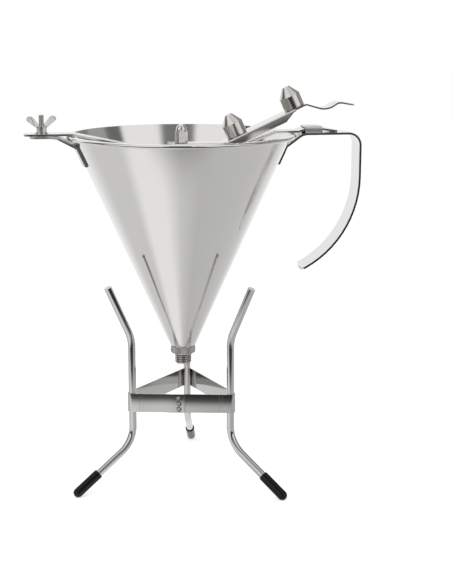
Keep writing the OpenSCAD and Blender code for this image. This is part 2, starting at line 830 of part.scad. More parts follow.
module lever() {
    color([0.76, 0.76, 0.75])
    difference() {
        union() {
            on_lever() lever_channel();
            from_rim() {
                thumb_rest();
                lever_fork();
            }
        }
        on_lever()
            for (u = [0, knob_pitch])
                translate([u, 0, -lever_t - 2])
                    cylinder(h = lever_t + 4, r = screw_d / 2 + screw_fit);
    }
}

// A turned knob standing on the lever, with its screw below
module knob(u, screw_len) {
    edge = 0.5;
    color([0.70, 0.69, 0.66])
    on_lever()
        translate([u, 0, face_gap])
            rotate_extrude()
                polygon([[0, -screw_len], [screw_d / 2 - edge, -screw_len],
                    [screw_d / 2, -screw_len + edge], [screw_d / 2, 0], [knob_d / 2 - edge, 0],
                    [knob_d / 2, edge], [knob_d / 2, knob_body_h],
                    [knob_top_d / 2, knob_body_h + knob_cone_h], [0, knob_body_h + knob_cone_h]]);
}

module release_knob() {
    knob(0, 5.4);
}

module thumb_knob() {
    knob(knob_pitch, 2.6);
}

// ---- valve ----

module piston_rod() {
    color([0.74, 0.74, 0.73])
    from_rim()
        translate([0, 0, ring_bottom])
            cylinder(h = rod_top - ring_bottom, r = piston_d / 2);
}

module valve_plug() {
    pilot_r = bore_d / 2 - running_gap;
    color([0.66, 0.66, 0.64])
    from_rim()
        difference() {
            rotate_extrude()
                polygon([[0, ring_bottom - pilot_len], [pilot_r - 1.5, ring_bottom - pilot_len],
                    [pilot_r, ring_bottom - pilot_len + 1.5], [pilot_r, ring_bottom + ring_t],
                    [plug_head_r, ring_bottom + ring_t],
                    [plug_head_r, ring_bottom + ring_t + plug_head_h - 1],
                    [plug_head_r - 1, ring_bottom + ring_t + plug_head_h],
                    [0, ring_bottom + ring_t + plug_head_h]]);
            translate([0, 0, ring_bottom]) cylinder(h = 20, r = piston_d / 2);
        }
}

module plug_ring() {
    color([0.10, 0.10, 0.10])
    from_rim()
        translate([0, 0, ring_bottom]) ring(plug_head_r, bore_d / 2 - running_gap, ring_t);
}

module spring_collar() {
    color([0.62, 0.62, 0.60])
    from_rim()
        translate([0, 0, spring_bottom - spring_collar_h])
            difference() {
                ring(spring_collar_d / 2, piston_d / 2, spring_collar_h);
                translate([0, 0, spring_collar_h / 2])
                    rotate([0, 90, 0]) cylinder(h = spring_collar_d, r = 1.5);
            }
}

module collar_screw() {
    color([0.25, 0.25, 0.25])
    from_rim()
        translate([piston_d / 2, 0, spring_bottom - spring_collar_h / 2])
            rotate([0, 90, 0]) cylinder(h = spring_collar_d / 2 - piston_d / 2 - 0.6, r = 1.5);
}

// One wire: half a turn at each end lies nearly flat, the rest climbs evenly
spring_steps = 8;
spring_sides = 6;
end_turns = 0.5;
coil_r = spring_d / 2 - wire_d / 2;
coil_h = spring_len - wire_d - 2 * 0.15;
all_turns = spring_turns + 2 * end_turns;
end_rise = end_turns * (wire_d + 0.5);
function coil_z(t) = t < end_turns ? end_rise * t / end_turns
    : t > all_turns - end_turns ? coil_h - end_rise * (all_turns - t) / end_turns
    : end_rise + (coil_h - 2 * end_rise) * (t - end_turns) / spring_turns;
function coil_at(t) = [coil_r * cos(360 * t), coil_r * sin(360 * t), coil_z(t)];
coil_n = round(all_turns * spring_steps);
coil_path = [for (i = [0 : coil_n]) coil_at(i * all_turns / coil_n)];
coil_gap = min([for (i = [0 : coil_n]) for (j = [i + spring_steps - 2 : coil_n])
    if (j >= i + spring_steps - 2 && j <= coil_n) norm(coil_path[i] - coil_path[j])]) - wire_d;
echo(spring_least_gap = coil_gap);

module return_spring() {
    points = [for (i = [0 : coil_n])
        let (a = 360 * i * all_turns / coil_n, c = coil_path[i])
        for (k = [0 : spring_sides - 1])
            let (b = 360 * k / spring_sides, r = wire_d / 2)
            [c[0] + r * cos(b) * cos(a), c[1] + r * cos(b) * sin(a), c[2] + r * sin(b)]];
    sides = [for (i = [0 : coil_n - 1]) for (k = [0 : spring_sides - 1])
        let (a = i * spring_sides + k, b = i * spring_sides + (k + 1) % spring_sides)
        for (f = [[a, b, a + spring_sides], [b, b + spring_sides, a + spring_sides]]) f];
    first = [for (k = [1 : spring_sides - 2]) [0, k + 1, k]];
    base = coil_n * spring_sides;
    last = [for (k = [1 : spring_sides - 2]) [base, base + k, base + k + 1]];
    color([0.55, 0.55, 0.54])
    from_rim()
        translate([0, 0, spring_bottom + wire_d / 2 + 0.15])
            polyhedron(points, concat(sides, first, last));
}

module lock_nut() {
    color([0.68, 0.67, 0.64])
    from_rim()
        translate([0, 0, lock_nut_bottom])
            difference() {
                cylinder(h = lock_nut_top - lock_nut_bottom, r = nut_corner_r, $fn = 6);
                translate([0, 0, -1]) cylinder(h = 20, r = piston_d / 2);
            }
}

module dome_nut() {
    round_h = dome_h - dome_skirt_h - dome_d / 2;
    color([0.74, 0.74, 0.72])
    from_rim()
        translate([0, 0, lock_nut_top])
            difference() {
                union() {
                    cylinder(h = dome_skirt_h, r = nut_corner_r, $fn = 6);
                    translate([0, 0, dome_skirt_h]) cylinder(h = round_h, r = dome_d / 2);
                    intersection() {
                        translate([0, 0, dome_skirt_h + round_h]) sphere(r = dome_d / 2);
                        translate([0, 0, dome_skirt_h + round_h])
                            cylinder(h = dome_d, r = dome_d);
                    }
                }
                translate([0, 0, -1]) cylinder(h = rod_top - lock_nut_top + 1, r = piston_d / 2);
            }
}

module nozzle() {
    collar_edge = 1.4;
    spout_edge = 1.2;
    bore_r = bore_d / 2;
    color([0.64, 0.63, 0.60])
    from_rim()
        rotate_extrude()
            polygon([[bore_r, spout_bottom], [spout_d / 2 - spout_edge, spout_bottom],
                [spout_d / 2, spout_bottom + spout_edge], [spout_d / 2, collar_bottom],
                [collar_d / 2 - collar_edge, collar_bottom],
                [collar_d / 2, collar_bottom + collar_edge],
                [collar_d / 2, collar_top - 0.3], [collar_d / 2 - 0.3, collar_top],
                [spigot_d / 2, collar_top], [spigot_d / 2, spigot_top], [bore_r, spigot_top]]);
}

module nozzle_seal() {
    color([0.90, 0.90, 0.88])
    from_rim()
        translate([0, 0, seal_bottom]) ring(cone_end_r - 1, spigot_d / 2 + running_gap, seal_t);
}

leg(leg_az[0]);  // leg_rear
leg(leg_az[1]);  // leg_left
leg(leg_az[2]);  // leg_right
foot_cap(leg_az[0]);  // foot_cap_rear
foot_cap(leg_az[1]);  // foot_cap_left
foot_cap(leg_az[2]);  // foot_cap_right
stand_band();
funnel_cone();
outlet_ferrule();
lug();
lug_stud();
handle();
crossbar_loop();
crossbar();
clamp_washer();
wing_nut();
guide_bush();
pivot_ears();
pivot_pin();
pivot_block();
lever();
release_knob();
thumb_knob();
piston_rod();
valve_plug();
plug_ring();
spring_collar();
collar_screw();
return_spring();
lock_nut();
dome_nut();
nozzle();
nozzle_seal();
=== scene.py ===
import math

import bpy
from mathutils import Matrix, Vector


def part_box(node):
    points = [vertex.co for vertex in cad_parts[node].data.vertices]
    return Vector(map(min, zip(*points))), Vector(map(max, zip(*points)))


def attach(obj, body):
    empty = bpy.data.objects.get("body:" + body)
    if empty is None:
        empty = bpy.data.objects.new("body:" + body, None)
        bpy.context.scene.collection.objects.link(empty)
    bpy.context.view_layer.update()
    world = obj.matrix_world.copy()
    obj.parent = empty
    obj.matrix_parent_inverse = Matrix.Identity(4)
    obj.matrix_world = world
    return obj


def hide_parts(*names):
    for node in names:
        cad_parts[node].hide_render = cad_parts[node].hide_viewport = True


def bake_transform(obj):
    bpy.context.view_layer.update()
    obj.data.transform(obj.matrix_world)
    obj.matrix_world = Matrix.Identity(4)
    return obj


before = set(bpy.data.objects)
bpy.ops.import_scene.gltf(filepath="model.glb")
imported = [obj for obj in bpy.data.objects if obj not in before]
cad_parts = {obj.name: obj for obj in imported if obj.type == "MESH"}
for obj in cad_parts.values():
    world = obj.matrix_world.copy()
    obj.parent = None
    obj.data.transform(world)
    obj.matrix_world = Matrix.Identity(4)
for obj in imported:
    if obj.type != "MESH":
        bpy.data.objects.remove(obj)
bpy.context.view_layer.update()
MM = 0.001
DEG = 1 / 360.0                # one degree, as a share of a whole turn
TURN = 2 * math.pi
bpy.context.scene.view_settings.view_transform = "Standard"


# ---- camera: the photograph's viewing angle ----

YAW = math.radians(9.0)        # the handle points 9 degrees away from the camera
PITCH = math.radians(12.81)    # how far the camera looks down
LENS = 74.64
CAMERA_AT = (-0.1308, -1.0818, 0.4286)

cam_data = bpy.data.cameras.new("camera")
cam_data.lens = LENS
cam_data.sensor_width = 36.0
cam = bpy.data.objects.new("camera", cam_data)
bpy.context.scene.collection.objects.link(cam)
cam.location = CAMERA_AT
look = Vector((math.sin(YAW) * math.cos(PITCH), math.cos(YAW) * math.cos(PITCH), -math.sin(PITCH)))
right = Vector((math.cos(YAW), -math.sin(YAW), 0))
up = right.cross(look)
cam.rotation_euler = Matrix((right, up, -look)).transposed().to_euler()
bpy.context.scene.camera = cam


# ---- node trees ----

class Nodes:
    """A short way to write a node tree."""

    def __init__(self, tree):
        self.tree = tree
        tree.nodes.clear()

    def add(self, kind, **values):
        node = self.tree.nodes.new(kind)
        for key, value in values.items():
            if key in node.inputs:
                self.put(node.inputs[key], value)
            else:
                setattr(node, key, value)
        return node

    def put(self, socket, value):
        if isinstance(value, bpy.types.NodeSocket):
            self.tree.links.new(value, socket)
        else:
            socket.default_value = value

    def math(self, op, a, b=0.0, c=None):
        node = self.tree.nodes.new("ShaderNodeMath")
        node.operation = op
        self.put(node.inputs[0], a)
        self.put(node.inputs[1], b)
        if c is not None:
            self.put(node.inputs[2], c)
        return node.outputs[0]

    def less(self, value, where, share):
        """value, smaller by a share of itself where the second value is 1."""
        return self.math("MULTIPLY", value, self.math("SUBTRACT", 1.0, self.math("MULTIPLY", where, share)))

    def dot(self, a, b):
        node = self.add("ShaderNodeVectorMath", operation="DOT_PRODUCT")
        self.put(node.inputs[0], a)
        self.put(node.inputs[1], b)
        return node.outputs["Value"]

    def share_of_turn(self, x, y):
        """The angle of the way (x, y), from 0 at +X to 1 after a whole turn."""
        turns = self.math("DIVIDE", self.math("ARCTAN2", y, x), TURN)
        return self.math("FRACT", self.math("ADD", turns, 1.0))

    def ramp(self, fac, stops, interpolation="LINEAR"):
        """A grey for each place: stops is a list of (place, grey)."""
        node = self.tree.nodes.new("ShaderNodeValToRGB")
        node.color_ramp.interpolation = interpolation
        elements = node.color_ramp.elements
        while len(elements) > 1:
            elements.remove(elements[-1])
        for i, (place, value) in enumerate(stops):
            e = elements[0] if i == 0 else elements.new(place)
            e.position = place
            e.color = grey(value)
        self.put(node.inputs[0], fac)
        return node.outputs[0]

    def mix(self, fac, a, b):
        node = self.tree.nodes.new("ShaderNodeMix")
        node.data_type = "RGBA"
        self.put(node.inputs[0], fac)
        self.put(node.inputs[6], a)
        self.put(node.inputs[7], b)
        return node.outputs[2]

    def bump(self, height, depth, normal=None):
        """The normal over a height from 0 to 1 that stands for a depth in millimetres."""
        node = self.add("ShaderNodeBump", Height=height, Strength=1.0, Distance=depth * MM)
        if normal is not None:
            self.put(node.inputs["Normal"], normal)
        return node.outputs[0]


def grey(value):
    return (value, value, value, 1)


def new_material(name):
    mat = bpy.data.materials.new(name)
    mat.use_nodes = True
    return mat, Nodes(mat.node_tree)


# ---- the stand's band: its welded side, in millimetres ----

SEAM_TURN = math.radians(259)
SEAM_OUT = (math.cos(SEAM_TURN), math.sin(SEAM_TURN), 0.0)
SEAM_ALONG = (-math.sin(SEAM_TURN), math.cos(SEAM_TURN), 0.0)
SEAM_EDGE = 3.2                # where the lapped end stops, along the side
BAND_MIDDLE = 83.25            # height of the band's middle
BAND_HALF = 8.75               # half its height
WELD_SIDE = -2.2               # place of the spot welds along the side
WELD_PITCH = 5.4               # height from one to the next
WELD_R = 1.9
WELD_RIM = 0.75                # half the width of the burnt ring
WELD_GAP = 1.2                 # the ring is open beyond this, on its left
WELD_SLANT = 0.5               # how much the opening leans
WELD_GAIN = 1.6                # how soon the ring is fully burnt, inwards from its rims
WELD_BURN = 0.82               # share of its tone that the burnt ring loses
WELD_ROUGH = 0.34              # roughness that the spot gains
CROWN_MIDDLE = 81.0            # the bulge is lower than the band's middle
CROWN_PAST_SEAM = -2.4         # and lower still past the seam
CROWN_BULGE = 0.24             # how far it stands out


def weld_marks(n, where):
    """(1 on the burnt ring of each spot weld, 1 on the spot inside it)."""
    along = n.dot(where, SEAM_ALONG)
    front = n.math("GREATER_THAN", n.dot(where, SEAM_OUT), 20 * MM)
    level = n.add("ShaderNodeSeparateXYZ", Vector=where).outputs[2]
    burn = 0.0
    pool = 0.0
    for k in (-1, 0, 1):
        du = n.math("SUBTRACT", along, WELD_SIDE * MM)
        dv = n.math("SUBTRACT", level, (BAND_MIDDLE + k * WELD_PITCH) * MM)
        far = n.math("SQRT", n.math("ADD", n.math("MULTIPLY", du, du), n.math("MULTIPLY", dv, dv)))
        off_ring = n.math("ABSOLUTE", n.math("SUBTRACT", far, WELD_R * MM))
        ring = n.math("SUBTRACT", 1.0, n.math("DIVIDE", off_ring, WELD_RIM * MM))
        leaning = n.math("ADD", du, n.math("MULTIPLY", dv, WELD_SLANT))
        shut_side = n.math("GREATER_THAN", leaning, -WELD_GAP * MM)
        ring = n.math("MULTIPLY", n.math("MAXIMUM", ring, 0.0), shut_side)
        burn = n.math("MAXIMUM", ring, burn)
        pool = n.math("MAXIMUM", n.math("LESS_THAN", far, WELD_R * MM), pool)
    burn = n.math("MINIMUM", n.math("MULTIPLY", burn, WELD_GAIN), 1.0)
    return n.math("MULTIPLY", burn, front), n.math("MULTIPLY", pool, front)


def crowned(n, where, normal):
    """The normal of the band's gently bulging strip."""
    past = n.math("GREATER_THAN", n.dot(where, SEAM_ALONG), SEAM_EDGE * MM)
    level = n.add("ShaderNodeSeparateXYZ", Vector=where).outputs[2]
    level = n.math("SUBTRACT", level, n.math("MULTIPLY", past, CROWN_PAST_SEAM * MM))
    off = n.math("DIVIDE", n.math("SUBTRACT", level, CROWN_MIDDLE * MM), BAND_HALF * MM)
    return n.bump(n.math("SUBTRACT", 1.0, n.math("MULTIPLY", off, off)), CROWN_BULGE, normal)


# ---- materials ----

EDGE_REACH = 0.45              # how near to an outer edge the painted shade reaches, in millimetres
EDGE_GAIN = 6.0                # how soon the painted shade is full, towards the edge


def metal(name, tone, rough, grain=(1, 1, 1), turn=(0, 0, 0), scale=900.0, bump=0.02,
          spread=0.05, patch=40.0, bevel=0.3, warm=0.012, rough_spread=0.05,
          shut=0.0, reach=1.0, edge=0.0, band=False):
    """Steel with polishing lines, which grain and turn lay: grain is the noise's scale on each
    axis, small along the lines. bump is their depth. bevel rounds the edges. shut paints shade
    into narrow grooves and corners, over a reach. edge paints shade along outer edges. band adds
    the bulge and the spot welds of the stand's band. Lengths are in millimetres."""
    mat, n = new_material(name)
    where = n.add("ShaderNodeTexCoord").outputs["Object"]
    turned = n.add("ShaderNodeMapping", Vector=where, Rotation=turn)
    lines = n.add("ShaderNodeMapping", Vector=turned.outputs[0], Scale=grain)
    hair = n.add("ShaderNodeTexNoise", Vector=lines.outputs[0], Scale=scale, Detail=3.0,
                 Roughness=0.6).outputs[0]
    cloud = n.add("ShaderNodeTexNoise", Vector=where, Scale=patch, Detail=2.0).outputs[0]

    tone_at = n.math("MULTIPLY_ADD", hair, spread, -0.5 * spread)
    tone_at = n.math("MULTIPLY_ADD", cloud, spread * 0.6, tone_at)
    tone_at = n.math("ADD", tone_at, tone - 0.3 * spread)
    rough_at = n.math("MULTIPLY_ADD", cloud, rough_spread, rough - 0.5 * rough_spread)
    rough_at = n.math("MULTIPLY_ADD", hair, rough_spread * 0.6, rough_at)
    normal = n.add("ShaderNodeBevel", samples=4, Radius=bevel * MM).outputs[0]
    # painted shade: the tone darkens in narrow grooves and corners that the ambient occlusion finds closed
    if shut:
        open_at = n.add("ShaderNodeAmbientOcclusion", samples=8, only_local=True,
                        Distance=reach * MM).outputs["AO"]
        painted_shade_factor = n.ramp(open_at, [(0.0, 1 - shut), (0.45, 1 - 0.6 * shut), (0.9, 1.0)])
        tone_at = n.math("MULTIPLY", tone_at, painted_shade_factor)
    # painted shade: the tone darkens along outer edges, standing in for the shading of the edges
    if edge:
        soft = n.add("ShaderNodeBevel", samples=8, Radius=EDGE_REACH * MM).outputs[0]
        flat = n.add("ShaderNodeNewGeometry").outputs["Normal"]
        unlike = n.math("SUBTRACT", 1.0, n.dot(soft, flat))
        at_edge = n.math("MINIMUM", n.math("MULTIPLY", unlike, EDGE_GAIN), 1.0)
        tone_at = n.less(tone_at, at_edge, edge)
    if band:
        burn, pool = weld_marks(n, where)
        tone_at = n.less(tone_at, burn, WELD_BURN)
        rough_at = n.math("MULTIPLY_ADD", pool, WELD_ROUGH, rough_at)
        normal = crowned(n, where, normal)

    normal = n.bump(hair, bump, normal)
    colour = n.add("ShaderNodeCombineColor", Red=n.math("MULTIPLY", tone_at, 1 + warm),
                   Green=tone_at, Blue=n.math("MULTIPLY", tone_at, 1 - 1.6 * warm))
    shader = n.add("ShaderNodeBsdfPrincipled", Metallic=1.0, Roughness=rough_at,
                   Normal=normal, **{"Base Color": colour.outputs[0]})
    n.add("ShaderNodeOutputMaterial", Surface=shader.outputs[0])
    return mat


def rubber(name, tone, rough, ior, spread=0.3, bump=0.02):
    """Rubber with faint clouds in its tone and a fine skin."""
    mat, n = new_material(name)
    where = n.add("ShaderNodeTexCoord").outputs["Object"]
    skin = n.add("ShaderNodeTexNoise", Vector=where, Scale=700.0, Detail=4.0).outputs[0]
    cloud = n.add("ShaderNodeTexNoise", Vector=where, Scale=90.0, Detail=2.0).outputs[0]
    colour = n.mix(cloud, grey(tone * (1 - spread)), grey(tone * (1 + spread)))
    rough_at = n.math("MULTIPLY_ADD", skin, 0.12, rough - 0.06)
    shader = n.add("ShaderNodeBsdfPrincipled", Metallic=0.0, Roughness=rough_at,
                   Normal=n.bump(skin, bump), **{"Base Color": colour, "IOR": ior})
    n.add("ShaderNodeOutputMaterial", Surface=shader.outputs[0])
    return mat


AROUND = (0.02, 0.02, 1.0)      # lines that run round a vertical axis
LENGTHWISE_X = (0.03, 1.0, 1.0)
LENGTHWISE_Z = (1.0, 1.0, 0.03)
LEVER_TURN = (0.0, math.radians(24.5), 0.0)     # the lever's slope

# sheet, rod and strip
cone_steel = metal("cone_steel", 0.74, 0.10, grain=AROUND, scale=1400, bump=0.002, spread=0.035,
                   patch=14, rough_spread=0.03)
# the band: painted shade in its corners and hollows (shut)
band_steel = metal("band_steel", 0.56, 0.10, grain=AROUND, scale=1600, bump=0.002, spread=0.05,
                   patch=60, rough_spread=0.03, shut=0.6, reach=2.5, band=True)
rod_steel = metal("rod_steel", 0.60, 0.05, grain=LENGTHWISE_Z, scale=1200, bump=0.002, spread=0.04,
                  patch=80, rough_spread=0.03)
strip_steel = metal("strip_steel", 0.74, 0.14, grain=LENGTHWISE_X, scale=1500, bump=0.006,
                    spread=0.05, patch=60, bevel=0.4)
lug_steel = metal("lug_steel", 0.80, 0.32, grain=LENGTHWISE_X, scale=1500, bump=0.008,
                  spread=0.06, patch=60, bevel=0.4)
loop_steel = metal("loop_steel", 0.78, 0.36, grain=LENGTHWISE_X, scale=1500, bump=0.01,
                   spread=0.05, patch=60, bevel=0.5)
bar_steel = metal("bar_steel", 0.70, 0.18, grain=LENGTHWISE_X, scale=1500, bump=0.008,
                  spread=0.06, patch=60, bevel=0.4)
lever_steel = metal("lever_steel", 0.72, 0.17, grain=LENGTHWISE_X, turn=LEVER_TURN, scale=1500,
                    bump=0.006, spread=0.05, patch=60, bevel=0.4)
# turned, cast and drawn
knob_steel = metal("knob_steel", 0.66, 0.20, grain=AROUND, turn=LEVER_TURN, scale=2600,
                   bump=0.012, spread=0.10, patch=120, warm=0.03)
turned_steel = metal("turned_steel", 0.64, 0.20, grain=AROUND, scale=2600, bump=0.010,
                     spread=0.08, patch=120, bevel=0.2, warm=0.025)
# the nozzle: painted shade in its knurl and thread grooves (shut)
nozzle_steel = metal("nozzle_steel", 0.50, 0.12, grain=AROUND, scale=2600, bump=0.006,
                     spread=0.10, patch=160, bevel=0.1, warm=0.03, shut=0.95, reach=1.3)
# the stud: painted shade in its thread grooves (shut)
thread_steel = metal("thread_steel", 0.66, 0.12, grain=AROUND, scale=2600, bump=0.004,
                     spread=0.06, patch=160, bevel=0.1, warm=0.02, shut=0.8, reach=0.6)
nut_steel = metal("nut_steel", 0.70, 0.12, grain=AROUND, scale=2400, bump=0.006, spread=0.06,
                  patch=150, warm=0.02)
# the wing nut: painted shade along its outer edges (edge)
cast_steel = metal("cast_steel", 0.88, 0.26, bump=0.01, spread=0.05, patch=200, edge=0.75)
dark_screw = metal("dark_screw", 0.22, 0.30, scale=1500, bump=0.01, bevel=0.2)
spring_steel = metal("spring_steel", 0.52, 0.22, scale=1500, bump=0.006, bevel=0.1)
# rubber
black_rubber = rubber("black_rubber", 0.002, 0.05, ior=1.36, bump=0.001)
seal_rubber = rubber("seal_rubber", 0.72, 0.55, ior=1.45, spread=0.05)

LOOK = {
    "leg_rear": rod_steel, "leg_left": rod_steel, "leg_right": rod_steel,
    "foot_cap_rear": black_rubber, "foot_cap_left": black_rubber, "foot_cap_right": black_rubber,
    "stand_band": band_steel, "funnel_cone": cone_steel, "outlet_ferrule": turned_steel,
    "lug": lug_steel, "lug_stud": turned_steel, "handle": strip_steel,
    "crossbar_loop": loop_steel, "crossbar": bar_steel, "clamp_washer": turned_steel,
    "wing_nut": cast_steel, "guide_bush": turned_steel, "pivot_ears": bar_steel,
    "pivot_pin": turned_steel, "pivot_block": turned_steel, "lever": lever_steel,
    "release_knob": knob_steel, "thumb_knob": knob_steel, "piston_rod": rod_steel,
    "valve_plug": turned_steel, "plug_ring": seal_rubber, "spring_collar": turned_steel,
    "collar_screw": dark_screw, "return_spring": spring_steel, "lock_nut": nut_steel,
    "dome_nut": nut_steel, "nozzle": turned_steel, "nozzle_seal": seal_rubber,
}

# nodes whose bends are narrow facets, and the angle up to which facets shade as one curve
BENT = {"stand_band": 24.0, "lug": 24.0, "handle": 24.0, "crossbar": 24.0, "lever": 24.0,
        "pivot_ears": 24.0, "pivot_block": 24.0, "wing_nut": 32.0}
SAME_PLACE = 2e6                # corners that agree to half a millionth of a metre are one
NO_EDGE = 1e-9                  # edges shorter than this are left out
NO_NORMAL = 1e-6                # a shorter sum of normals is taken as none


def round_over(obj, angle):
    """Shades the narrow facets of a bend as one curve: each corner gets the mean normal of the
    faces that meet there at less than the angle."""
    mesh = obj.data
    place = [tuple(round(c * SAME_PLACE) for c in v.co) for v in mesh.vertices]
    facing = [p.normal.copy() for p in mesh.polygons]
    meet = {}
    for p in mesh.polygons:
        ring = list(p.vertices)
        for i, v in enumerate(ring):
            here = mesh.vertices[v].co
            a = mesh.vertices[ring[i - 1]].co - here
            b = mesh.vertices[ring[(i + 1) % len(ring)]].co - here
            if a.length > NO_EDGE and b.length > NO_EDGE:
                meet.setdefault(place[v], []).append((p.index, a.angle(b)))
    limit = math.cos(math.radians(angle))
    normals = []
    for p in mesh.polygons:
        for v in p.vertices:
            total = Vector((0, 0, 0))
            for other, weight in meet.get(place[v], ()):
                if facing[other].dot(facing[p.index]) > limit:
                    total += facing[other] * weight
            normals.append(total.normalized() if total.length > NO_NORMAL else facing[p.index])
    for p in mesh.polygons:
        p.use_smooth = True
    mesh.normals_split_custom_set(normals)


for name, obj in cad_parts.items():
    obj.data.materials.clear()
    obj.data.materials.append(LOOK[name])
for name, angle in BENT.items():
    round_over(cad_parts[name], angle)


# ---- new pieces ----

def new_piece(name, verts, faces, mat, angle):
    """A mesh in the row frame, with smooth shading that breaks at more than the angle."""
    mesh = bpy.data.meshes.new(name)
    mesh.from_pydata([tuple(v) for v in verts], [], faces)
    mesh.validate()
    mesh.update()
    mesh.materials.append(mat)
    for p in mesh.polygons:
        p.use_smooth = True
    mesh.set_sharp_from_angle(angle=math.radians(angle))
    obj = bpy.data.objects.new(name, mesh)
    bpy.context.scene.collection.objects.link(obj)
    return obj


def ring_faces(rings, around, closed):
    """The four-sided faces between rings of points, and on to the first ring if closed."""
    faces = []
    for i in range(rings if closed else rings - 1):
        here = i * around
        there = (i + 1) % rings * around
        for k in range(around):
            m = (k + 1) % around
            faces.append((here + k, here + m, there + m, there + k))
    return faces


def lathe(name, rows, around, axis_at, mat, angle):
    """A closed turned piece. rows is a closed loop of (z, radius or a function of angle)."""
    verts = []
    for z, r in rows:
        for k in range(around):
            a = TURN * k / around
            radius = r(a) if callable(r) else r
            verts.append((axis_at[0] + radius * math.cos(a), axis_at[1] + radius * math.sin(a), z))
    return new_piece(name, verts, ring_faces(len(rows), around, True), mat, angle)


def steps(start, end, step):
    """Heights from start up to end, a step apart."""
    z = start
    while z < end:
        yield z
        z += step


# ---- nozzle with its knurl and thread ----

SPOUT_H = 9.6 * MM              # the threaded end, below the collar
SPOUT_R = 7.9 * MM
COLLAR_H = 7.6 * MM
SPIGOT_R = 6.9 * MM             # the plain end, above the collar
BORE_R = 4.5 * MM
THREAD_PITCH = 2.0 * MM
THREAD_DEPTH = 0.9 * MM
THREAD_RUN_IN = 1.6 * MM        # the thread is shallower this near to its lower end
THREAD_RUN_OUT = 1.2 * MM       # and this near to the collar
KNURL_COUNT = 32
KNURL_RISE = 2.4 * MM           # height of one diamond
KNURL_DEPTH = 0.55 * MM
KNURL_HALF = 0.45               # half a groove's width, as a share of the way to the next one

lo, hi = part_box("nozzle")
z_spout = lo.z
z_collar = z_spout + SPOUT_H
z_collar_top = z_collar + COLLAR_H
z_top = hi.z
collar_r = hi.x


def spout_thread(z):
    """The thread's radius as a function of the angle, at a height."""
    def radius(a):
        crest = 0.5 + 0.5 * math.cos(TURN * (z - z_spout) / THREAD_PITCH - a)
        fade = min(1.0, (z - z_spout) / THREAD_RUN_IN, (z_collar - z) / THREAD_RUN_OUT)
        return SPOUT_R - THREAD_DEPTH * (1 - crest ** 0.8 * fade)
    return radius


def groove(t):
    """0 on the land, 1 at the bottom of a groove at each whole number."""
    return max(0.0, 1 - abs(t - round(t)) / KNURL_HALF)


def knurl(z):
    """The knurled collar's radius as a function of the angle, at a height."""
    def radius(a):
        u = a * KNURL_COUNT / TURN
        v = (z - z_collar) / KNURL_RISE
        return collar_r - KNURL_DEPTH * max(groove(u + v), groove(u - v))
    return radius


rows = [(z_spout, BORE_R), (z_spout, SPOUT_R - 1.2 * MM), (z_spout + 0.6 * MM, SPOUT_R - 0.75 * MM)]
rows += [(z, spout_thread(z)) for z in steps(z_spout + 0.9 * MM, z_collar - 0.5 * MM, 0.16 * MM)]
rows += [(z_collar - 0.2 * MM, SPOUT_R - 0.5 * MM), (z_collar, SPOUT_R - 0.4 * MM),
         (z_collar, collar_r - 1.4 * MM), (z_collar + 0.5 * MM, collar_r - 0.8 * MM),
         (z_collar + 1.2 * MM, collar_r - 0.25 * MM)]
rows += [(z, knurl(z)) for z in steps(z_collar + 1.35 * MM, z_collar_top - 0.7 * MM, 0.17 * MM)]
rows += [(z_collar_top - 0.6 * MM, collar_r - 0.2 * MM), (z_collar_top - 0.2 * MM, collar_r - 0.3 * MM),
         (z_collar_top, collar_r - 0.6 * MM), (z_collar_top, SPIGOT_R), (z_top - 0.4 * MM, SPIGOT_R),
         (z_top, SPIGOT_R - 0.4 * MM), (z_top, BORE_R)]
nozzle_piece = lathe("nozzle_knurled", rows, 384, (0, 0), nozzle_steel, angle=50)
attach(nozzle_piece, "nozzle")
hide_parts("nozzle")


# ---- clamp stud with its thread ----

STUD_PITCH = 0.8 * MM
STUD_DEPTH = 0.36 * MM
STUD_PLAIN = 3.2 * MM           # the stretch without thread, in the lug
POINT = 0.0003 * MM             # radius that closes the ends

lo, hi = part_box("lug_stud")
stud_at = ((lo.x + hi.x) / 2, (lo.y + hi.y) / 2)
stud_r = (hi.x - lo.x) / 2


def stud_thread(z):
    """The stud's radius as a function of the angle, at a height."""
    def radius(a):
        return stud_r - STUD_DEPTH * (0.5 - 0.5 * math.cos(TURN * z / STUD_PITCH - a))
    return radius


rows = [(lo.z, POINT), (lo.z, stud_r), (lo.z + STUD_PLAIN, stud_r)]
rows += [(z, stud_thread(z)) for z in steps(lo.z + STUD_PLAIN + 0.1 * MM, hi.z - 0.5 * MM, 0.1 * MM)]
rows += [(hi.z - 0.35 * MM, stud_r - 0.3 * MM), (hi.z, stud_r - 0.75 * MM), (hi.z, POINT)]
stud_piece = lathe("stud_threaded", rows, 48, stud_at, thread_steel, angle=60)
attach(stud_piece, "funnel")
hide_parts("lug_stud")


# ---- return spring, which the rising rod presses together ----

WIRE_R = 0.6 * MM
WIRE_SIDES = 10
COIL_TURNS = 8
FLAT_TURNS = 0.5                # nearly flat turns at each end
FLAT_GAP = 0.5 * MM             # the gap that two such turns would have
COIL_STEPS = 28                 # in a turn

lo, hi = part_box("return_spring")
wire_z = WIRE_R * math.sin(math.radians(60))    # half the height of the node's six-sided wire
coil_r = (hi.x - lo.x) / 2 - WIRE_R
coil_h = hi.z - lo.z - 2 * wire_z
flat_rise = FLAT_TURNS * (2 * WIRE_R + FLAT_GAP)
all_turns = COIL_TURNS + 2 * FLAT_TURNS


def coil_height(t):
    """Height of the wire's middle after t turns."""
    if t < FLAT_TURNS:
        return flat_rise * t / FLAT_TURNS
    if t > all_turns - FLAT_TURNS:
        return coil_h - flat_rise * (all_turns - t) / FLAT_TURNS
    return flat_rise + (coil_h - 2 * flat_rise) * (t - FLAT_TURNS) / COIL_TURNS


